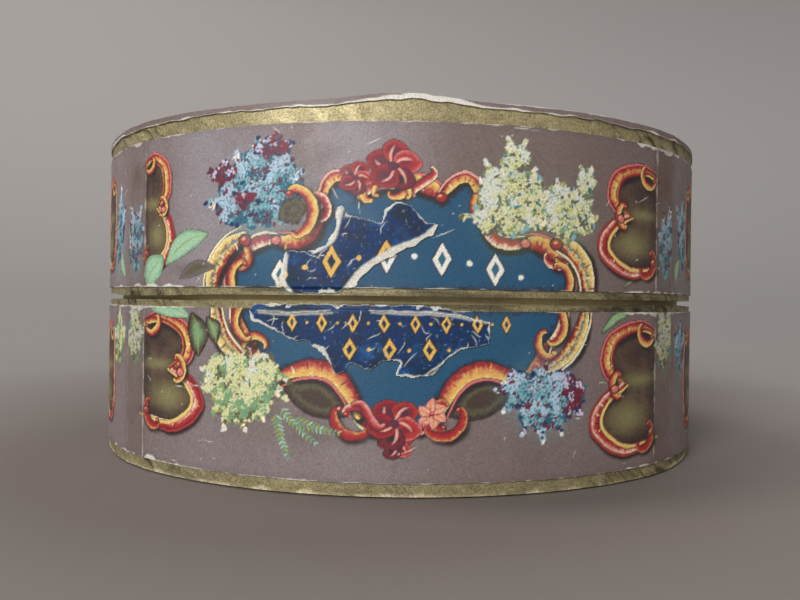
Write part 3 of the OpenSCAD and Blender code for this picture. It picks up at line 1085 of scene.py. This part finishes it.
def sheet_wear(page, z, foot):
    """White along the sheet's torn foot, brown down its fold, and card where its rim is rubbed."""
    _, _, run = perimeter(0.0, SHEET_PITCH)
    count = page.s.size // run.size
    around = np.tile(run, count)
    ring_place = np.repeat(np.arange(count), run.size)
    folded = ring_place > FLAT_RINGS
    # The torn foot is white in patches, widest where the sheet has sprung at the front's middle
    sprung = np.exp(-((around - SIDE_REACH["front"] - 3.0) / 6.0) ** 2)
    below = (TOP_Z - np.tile(crown_drop(SHEET_PITCH), count) - z) * folded
    white = 0.04 + 0.45 * sprung + 0.3 * cloud(around, below, 2.8, 321).clip(0)
    torn = step(white - (z - np.tile(foot, count)), 0.1) * (below > 0)
    page.wash(torn * 0.9, "white")
    page.wash(0.35 * folded, "bark")
    page.wash(torn * 0.6, "white")
    inward = (FLAT_RINGS - ring_place) * HALF_WIDTH / FLAT_RINGS
    worn = step(cloud(around, inward, 1.6, 322) - 0.15 - 0.5 * np.abs(inward - 0.2), 0.3)
    page.wash(worn * 0.75, "card")


def top_sheet(material):
    """The printed sheet over the lid, folded down over the crown with a torn white edge."""
    rings = sheet_rings()
    points = np.vstack(rings)
    page = Page(points[:, 0], points[:, 1], 300)
    top_art(page)
    scratches(page, (-40, -40), (40, 40), 60)
    sheet_wear(page, points[:, 2], rings[FLAT_RINGS + FOLD_RINGS][:, 2])
    piece = make_mesh("lid_top_sheet_piece", points, stack_faces(rings), page.ink)
    sharpen(piece, np.zeros(len(points), bool))
    return finish_piece(piece, "lid", "printed_paper", material, "lid_top_sheet")


def top_board(material):
    """The lid's board, with its edge crushed thin where the crown has been knocked down."""
    pitch = 0.6
    low, high = span("lid_top_board", 2)
    rim_x, rim_y, run = perimeter(2 * PAPER, pitch)
    drop = crown_drop(pitch)
    rings = []
    for scale in (0.01, 0.4, 0.7, 0.84, 0.94, 1.0):
        rings.append(np.stack([rim_x * scale, rim_y * scale, high - drop * scale ** CRUSH_FADE], 1))
    rings.append(np.stack([rim_x, rim_y, np.full(rim_x.size, low)], 1))
    rings.append(np.stack([rim_x * 0.01, rim_y * 0.01, np.full(rim_x.size, low)], 1))
    piece = make_mesh("lid_top_board_crushed", np.vstack(rings), stack_faces(rings))
    sharpen(piece, np.zeros(run.size * len(rings), bool))
    return finish_piece(piece, "lid", "card", material, "lid_top_board")


# Where the label's blue face has been pulled off its white backing, as (path, width)
LID_TEARS = [([(-5.4, 0.8), (-3.6, 2.5), (-0.6, 4.2), (2.6, 5.9), (4.0, 7.6)], 2.0),
             ([(-9.0, 4.9), (-7.2, 6.0), (-6.6, 7.6), (-6.1, 9.4)], 0.8),
             ([(-11.4, 0.8), (-12.2, 2.2), (-11.8, 4.6)], 0.7)]
BASE_TEARS = [([(-15.0, -1.3), (-11.0, -1.4), (-7.0, -1.2)], 0.14),
              ([(-3.0, -1.1), (0.5, -1.2), (4.6, -1.3), (8.6, -2.0)], 0.16),
              ([(2.6, -7.6), (5.2, -5.8), (9.0, -4.5)], 0.22)]

# Torn outlines of the label's two halves, the same as the CAD solids that they stand for
LID_LABEL = [
    (-11.1, 0.4), (-12.4, 0.9), (-12.8, 1.4), (-11.9, 5), (-9, 4.9), (-7.7, 5.6), (-6.7, 7.2),
    (-6.8, 9.3), (-5.9, 9.5), (-5.2, 8.6), (-2.1, 7.9), (-1.8, 9.1), (-0.5, 9.9), (0.9, 9.7),
    (2.7, 7.9), (4, 7.7), (3.4, 6.4), (0.8, 5), (-2.2, 3.5), (-3.8, 2.1), (-4.5, 1.1), (-6.8, 0.4),
]
BASE_LABEL = [
    (-15.6, -0.4), (-16, -1.2), (-15.9, -2.4), (-13, -3.4), (-11.4, -4.2), (-9.3, -4.5),
    (-7.6, -5.9), (-6.4, -7.7), (-5.3, -7.3), (-4.9, -6.5), (-2.9, -7.2), (-1.6, -6.2), (0, -6.3),
    (-0.6, -7.7), (1.4, -8), (3.6, -7.5), (4.6, -6.2), (5.9, -5.2), (7.3, -4.8), (9.3, -4.5),
    (9.3, -2.1), (6, -1.2), (4.7, -0.6), (4, -0.4),
]


def grown(mask):
    """A mask together with the cells beside it."""
    wide = np.pad(mask, 1)
    return (wide[1:-1, 1:-1] | wide[:-2, 1:-1] | wide[2:, 1:-1] | wide[1:-1, :-2] | wide[1:-1, 2:])


def one_piece(depth):
    """The connected cells of positive depth, none of which touch only at a corner."""
    part = depth == depth.max()
    for _ in range(sum(depth.shape)):
        part = grown(part) & (depth > 0)
    for _ in range(4):
        a, b, c, d = part[:-1, :-1], part[1:, 1:], part[1:, :-1], part[:-1, 1:]
        touch = (a & b & ~c & ~d) | (c & d & ~a & ~b)
        for i, j in np.argwhere(touch):
            part[i:i + 2, j:j + 2] = True
    return part


def label_face(page, depth, low, high, marks, tears, wrap_edge):
    """Blue ink on white paper, scratched, and worn to the white round its torn edge."""
    s, z, seed = page.s, page.z, page.seed
    page.ink[:] = linear("label")
    page.wash(0.55 * step(cloud(s, z, 2.6, seed + 2) - 0.1, 0.6), "azure")
    page.wash(0.85 * step(cloud(s, z, 2.2, seed + 3), 0.6), "deep")
    page.wash(0.5 * step(cloud(s, z, 0.8, seed + 4), 0.6), "ink")
    page.wash(0.6 * step(cloud(s, z, 0.3, seed + 6), 0.4), "deep")
    page.wash(step(page.dots - 0.5, 0.3) * 0.3, "sky")
    marks(page, "gold", "deep")
    rng = np.random.default_rng(seed)
    for _ in range(34):
        a = rng.uniform(low, high)
        b = a + rng.uniform(-1.6, 1.6, 2)
        middle = (a + b) / 2 + rng.uniform(-0.3, 0.3, 2)
        page.stroke(smooth([a, middle, b], 3), 0.07, "pearl", line=0, fade=True)
    for tear, width in tears:
        page.stroke(smooth(tear), width, "shade pearl white card pearl", line=0, soft=0.3)
        page.stroke(smooth(tear) + (0.2, -0.2), width * 0.5, "white card pearl", line=0, soft=0.4)
    border = 0.08 + 0.6 * cloud(s, z, 1.9, seed + 5).clip(0)
    near_seam = np.exp(-(np.abs(z) - abs(wrap_edge)).clip(0) / 0.35)
    border = border + 0.34 * near_seam * step(cloud(s, z, 0.9, seed + 9) - 0.3, 0.4)
    page.wash(step(border - depth, 0.12) * 0.85, "pearl")
    page.ink *= (1 + 0.12 * page.dots)[:, None]


def cell_shell(keep):
    """Faces round the kept cells of a grid of points that has an outer and an inner copy."""
    v = np.arange((keep.shape[0] + 1) * (keep.shape[1] + 1)).reshape(keep.shape[0] + 1, -1)
    walled = ~np.pad(keep, 1)
    faces = []
    for i, j in np.argwhere(keep):
        quad = [v[i, j], v[i + 1, j], v[i + 1, j + 1], v[i, j + 1]]
        faces.append(quad)
        faces.append([k + v.size for k in quad[::-1]])
        for k, (a, b) in enumerate(((i, j - 1), (i + 1, j), (i, j + 1), (i - 1, j))):
            if walled[a + 1, b + 1]:
                first, last = quad[k], quad[(k + 1) % 4]
                faces.append([last, first, first + v.size, last + v.size])
    return np.array(faces)


def torn_label(name, outline, marks, tears, wrap_edge, body, node, material, seed):
    """Half of the torn seal label: it lies on the wrap and steps in on to the gold band."""
    pitch = 0.1
    p = np.array(outline, float)
    low, high = p.min(0), p.max(0)
    gs, gz = np.meshgrid(np.arange(low[0] - 0.2, high[0] + 0.2, pitch),
                         np.arange(low[1], high[1] + 0.2, pitch), indexing="ij")
    depth = outline_depth(gs.ravel(), gz.ravel(), p).reshape(gs.shape)
    depth = depth - 0.16 * (1 + cloud(gs, gz, 0.7, seed + 1))
    page = Page(gs, gz, seed)
    label_face(page, depth.ravel(), low, high, marks, tears, wrap_edge)
    keep = one_piece((depth[:-1, :-1] + depth[1:, 1:] + depth[1:, :-1] + depth[:-1, 1:]) / 4)
    on_wrap = step(np.abs(gz) - abs(wrap_edge) + 0.1, 0.2)
    curl = 0.06 * np.exp(-np.clip(depth, 0, 9) / 0.3)
    points = []
    for inset in (PAPER - LABEL - on_wrap * PAPER + 0.01 + curl * 0.3,
                  PAPER - 0.01 - on_wrap * PAPER):
        x, y = wall_point("front", gs, inset)
        points.append(np.stack([x, y, gz + SEAM_Z], 2).reshape(-1, 3))
    inks = np.vstack([page.ink, np.broadcast_to(linear("card"), page.ink.shape)])
    used, faces = np.unique(cell_shell(keep), return_inverse=True)
    piece = make_mesh(name, np.vstack(points)[used], faces.reshape(-1, 4).tolist(), inks[used])
    return finish_piece(piece, body, "seal_paper", material, node)


# ---------------------------------------------------------------- materials

FOXING = (118, 84, 50)


class Recipe:
    """A material being built up from nodes."""

    def __init__(self, name):
        self.material = bpy.data.materials.new(name)
        self.material.use_nodes = True
        self.tree = self.material.node_tree
        self.shader = self.tree.nodes["Principled BSDF"]
        self.place = self.node("ShaderNodeTexCoord", "Object", {})

    def feed(self, node, values):
        """Sets a node's inputs, each to a constant or to another node's output."""
        for key, value in values.items():
            if isinstance(value, bpy.types.NodeSocket):
                self.tree.links.new(value, node.inputs[key])
            else:
                node.inputs[key].default_value = value

    def node(self, kind, output, values, **settings):
        """A new node; gives back one of its outputs."""
        node = self.tree.nodes.new(kind)
        for key, value in settings.items():
            setattr(node, key, value)
        self.feed(node, values)
        return node.outputs[output]

    def noise(self, scale, detail=4.0):
        return self.node("ShaderNodeTexNoise", "Fac",
                         {"Scale": scale, "Detail": detail, "Vector": self.place})

    def spread(self, fac, low, high, first=0.3, last=0.7):
        """A value that runs from first to last, spread over low to high."""
        return self.node("ShaderNodeMapRange", "Result",
                         {"From Min": first, "From Max": last, "To Min": low, "To Max": high,
                          "Value": fac})

    def mixed(self, a, b, share=1.0, blend="MULTIPLY"):
        return self.node("ShaderNodeMix", "Result", {"Factor": share, "A": a, "B": b},
                         data_type="RGBA", blend_type=blend)

    def bump(self, fac, strength, distance):
        return self.node("ShaderNodeBump", "Normal",
                         {"Strength": strength, "Distance": distance, "Height": fac})

    def ramp(self, fac, stops):
        """Colours along fac, from (place, linear colour) stops."""
        node = self.tree.nodes.new("ShaderNodeValToRGB")
        places = node.color_ramp.elements
        for end in (0, -1):
            places[end].position = stops[end][0]
            places[end].color = (*stops[end][1], 1)
        for place, colour in stops[1:-1]:
            places.new(place).color = (*colour, 1)
        self.feed(node, {"Fac": fac})
        return node.outputs["Color"]


def printed_material(name, gloss, metallic=0.0, grit=6500.0, tone=0.25, specular=0.5):
    """Ink or bronze powder on paper: the print attribute, broken up by the paper's grain."""
    recipe = Recipe(name)
    ink = recipe.node("ShaderNodeAttribute", "Color", {}, attribute_name="print")
    fine = recipe.noise(grit)
    recipe.feed(recipe.shader, {
        "Base Color": recipe.mixed(ink, recipe.spread(fine, 1 - tone, 1 + tone)),
        "Roughness": recipe.spread(recipe.noise(420.0), *gloss),
        "Metallic": metallic,
        "Specular IOR Level": specular,
        "Normal": recipe.bump(fine, 0.35, 0.00006)})
    return recipe.material


def paper_material(name, light, dark, scale, fibre, roughness=0.85):
    """Plain paper or card: two tones in drifts, fibres across them, and small foxing spots."""
    recipe = Recipe(name)
    fine = recipe.noise(fibre)
    drift = recipe.ramp(recipe.noise(scale), ((0.32, linear_of(dark)), (0.68, linear_of(light))))
    fibres = recipe.mixed(drift, recipe.spread(fine, 0.84, 1.12))
    spots = recipe.spread(recipe.noise(900.0, 2.0), 0.0, 0.55, 0.66, 0.76)
    recipe.feed(recipe.shader, {
        "Base Color": recipe.mixed(fibres, (*linear_of(FOXING), 1), spots, "MIX"),
        "Roughness": recipe.spread(fine, roughness - 0.1, roughness + 0.1),
        "Normal": recipe.bump(fine, 0.4, 0.00008)})
    return recipe.material


def dress(material, *nodes):
    """Gives carried-over CAD nodes their material."""
    for name in nodes:
        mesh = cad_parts[name].data
        mesh.materials.clear()
        mesh.materials.append(material)


# ---------------------------------------------------------------- the object

litho = printed_material("litho_print", (0.42, 0.62))
bronze = printed_material("bronze_paper", (0.42, 0.64), metallic=0.55, grit=5200.0, tone=0.45)
rim_bronze = printed_material("bronze_rim_paper", (0.45, 0.7), metallic=0.45, grit=5200.0,
                              tone=0.5)
label_print = printed_material("label_print", (0.4, 0.62), specular=0.3)

grey_card = paper_material("grey_card", (172, 150, 116), (146, 124, 94), 260.0, 5200.0)
dress(grey_card, "bottom_board", "base_wall_card", "neck_card", "lid_wall_card")
dress(paper_material("lining", (230, 221, 200), (216, 204, 180), 130.0, 4200.0),
      "base_floor_paper", "neck_lining_paper", "lid_wall_lining", "lid_ceiling_paper")
dress(paper_material("neck_paper", (216, 200, 152), (194, 177, 130), 330.0, 4600.0, 0.6),
      "neck_cover_paper")
dress(paper_material("bottom_sheet", (186, 171, 143), (168, 152, 124), 110.0, 4200.0),
      "bottom_paper")

for side, turn in QUARTER_TURNS.items():
    broad = side in ("front", "back")
    lid_art = front_lid_art if broad else side_lid_art
    base_art = front_base_art if broad else side_base_art
    wrap_panel("lid", side, LID_WRAP, lid_art, 100 + 7 * turn, litho)
    wrap_panel("base", side, BASE_WRAP, base_art, 200 + 7 * turn, litho)

top_sheet(litho)
top_board(grey_card)

CARD_IN = 2 * PAPER
FOOT_TOP = BASE_WRAP[0] + BAND_LAP
RIM_LOW = BASE_WRAP[1] - BAND_LAP
LID_RIM_TOP = LID_WRAP[0] + BAND_LAP
TURN_UP_TOP = LID_RIM_Z + RIM_TURN_UP
CROWN_LOW = LID_WRAP[1] - BAND_LAP
TURNED = PAPER + TURN_IN
gold_band("base_foot_gold_edging_piece",
          [(PAPER, FOOT_TOP), (PAPER, PAPER), (TURNED, PAPER), (TURNED, CARD_IN),
           (CARD_IN, CARD_IN), (CARD_IN, FOOT_TOP)],
          0.16, (PAPER, BASE_WRAP[0]), bronze, 401)
gold_band("base_rim_gold_edging_piece",
          [(PAPER, RIM_LOW), (CARD_IN, RIM_LOW), (CARD_IN, BASE_TOP - PAPER),
           (NECK_IN, BASE_TOP - PAPER), (NECK_IN, BASE_TOP), (PAPER, BASE_TOP)],
          0.14, (BASE_WRAP[1], BASE_TOP), rim_bronze, 411, lip=(BASE_TOP, 0.3 * SEAM_GAP))
gold_band("lid_rim_gold_edging_piece",
          [(PAPER, LID_RIM_TOP), (PAPER, LID_RIM_Z), (LID_LINING_INNER, LID_RIM_Z),
           (LID_LINING_INNER, TURN_UP_TOP), (LID_CARD_INNER, TURN_UP_TOP),
           (LID_CARD_INNER, LID_RIM_Z + PAPER), (CARD_IN, LID_RIM_Z + PAPER),
           (CARD_IN, LID_RIM_TOP)],
          0.14, (LID_RIM_Z, LID_WRAP[0]), rim_bronze, 421, lip=(LID_RIM_Z, -0.5 * SEAM_GAP))
gold_band("lid_crown_gold_edging_piece",
          [(PAPER, CROWN_LOW), (CARD_IN, CROWN_LOW), (CARD_IN, TOP_Z - CARD_IN),
           (TURNED, TOP_Z - CARD_IN), (TURNED, TOP_Z - PAPER), (PAPER, TOP_Z - PAPER)],
          0.16, (LID_WRAP[1], SHEET_FOOT + 0.5), bronze, 431)

torn_label("lid_label_torn", LID_LABEL, lid_marks, LID_TEARS, LID_WRAP[0] - SEAM_Z,
           "lid", "lid_seal_label", label_print, 501)
torn_label("base_label_torn", BASE_LABEL, base_marks, BASE_TEARS,
           BASE_WRAP[1] - SEAM_Z, "base", "base_seal_label", label_print, 511)


# ---------------------------------------------------------------- stage, lights and camera

# The floor's tones, with a painted shadow near the box, as (distance from the box over SWEEP_REACH,
# linear colour)
SWEEP_REACH = 1.6
SWEEP_TONES_WITH_SHADOW = (
    (0.035, (0.150, 0.127, 0.115)), (0.075, (0.222, 0.205, 0.193)), (0.15, (0.238, 0.221, 0.209)),
    (0.34, (0.243, 0.230, 0.220)), (1.0, (0.42, 0.40, 0.385)),
)


def backdrop():
    """A floor that sweeps up all round in one seamless bowl, open at the top."""
    flat, bend, wall, turns, parts = 300.0, 1400.0, 1900.0, 96, 32
    profile = [(1.0, 0.0), (flat, 0.0)]
    for a in np.linspace(0, math.pi / 2, parts + 1)[1:]:
        profile.append((flat + bend * math.sin(a), bend * (1 - math.cos(a))))
    profile.append((flat + bend, wall))
    points = []
    for r, z in profile:
        for k in range(turns):
            a = 2 * math.pi * k / turns
            points.append((r * math.cos(a), r * math.sin(a), z))
    v = np.arange(len(points)).reshape(-1, turns)
    sweep = make_mesh("studio_sweep", points, [v[0].tolist()] + ring_faces(v[1:], v[:-1]))
    recipe = Recipe("sweep_paper_painted_shadow")
    reach = recipe.node("ShaderNodeVectorMath", "Value", {0: recipe.place}, operation="LENGTH")
    far = recipe.node("ShaderNodeMath", 0, {0: reach, 1: SWEEP_REACH}, operation="DIVIDE")
    # Darker towards the box: a painted shadow
    recipe.feed(recipe.shader, {"Base Color": recipe.ramp(far, SWEEP_TONES_WITH_SHADOW), "Roughness": 0.9})
    sweep.data.materials.append(recipe.material)


def soft_light(name, place, aim, size, watts, colour):
    data = bpy.data.lights.new(name, "AREA")
    data.shape = "DISK"
    data.size = size
    data.energy = watts
    data.color = colour
    lamp = bpy.data.objects.new(name, data)
    bpy.context.scene.collection.objects.link(lamp)
    lamp.location = place
    lamp.rotation_euler = (Vector(aim) - Vector(place)).to_track_quat("-Z", "Y").to_euler()


backdrop()
middle = (0, 0, SEAM_Z * MM)
soft_light("key", (-0.30, -0.62, 0.34), middle, 0.30, 5.2, (1.0, 0.98, 0.97))
soft_light("fill", (0.45, -0.62, 0.3), middle, 0.4, 0.95, (1.0, 0.93, 0.86))
soft_light("back", (0.25, 0.5, 1.1), middle, 0.5, 3.6, (0.98, 0.98, 1.0))
soft_light("wall", (-0.35, 0.1, 1.2), (-0.3, 1.3, 0.5), 0.6, 12.0, (1.0, 0.98, 0.96))

world = bpy.data.worlds.new("studio")
world.use_nodes = True
world.node_tree.nodes["Background"].inputs["Color"].default_value = (0.9, 0.92, 1.0, 1)
world.node_tree.nodes["Background"].inputs["Strength"].default_value = 0.22
bpy.context.scene.world = world
bpy.context.scene.view_settings.view_transform = "Standard"

CAMERA_GAP = 70.7
CAMERA_ROLL = 0.75
camera_data = bpy.data.cameras.new("camera")
camera_data.lens = 31.8
camera_data.clip_start = 0.005
camera = bpy.data.objects.new("camera", camera_data)
bpy.context.scene.collection.objects.link(camera)
aim = Matrix.Rotation(math.radians(90), 4, "X") @ Matrix.Rotation(math.radians(CAMERA_ROLL), 4, "Z")
camera.matrix_world = Matrix.Translation((0, -(HALF_WIDTH + CAMERA_GAP) * MM, SEAM_Z * MM)) @ aim
bpy.context.scene.camera = camera
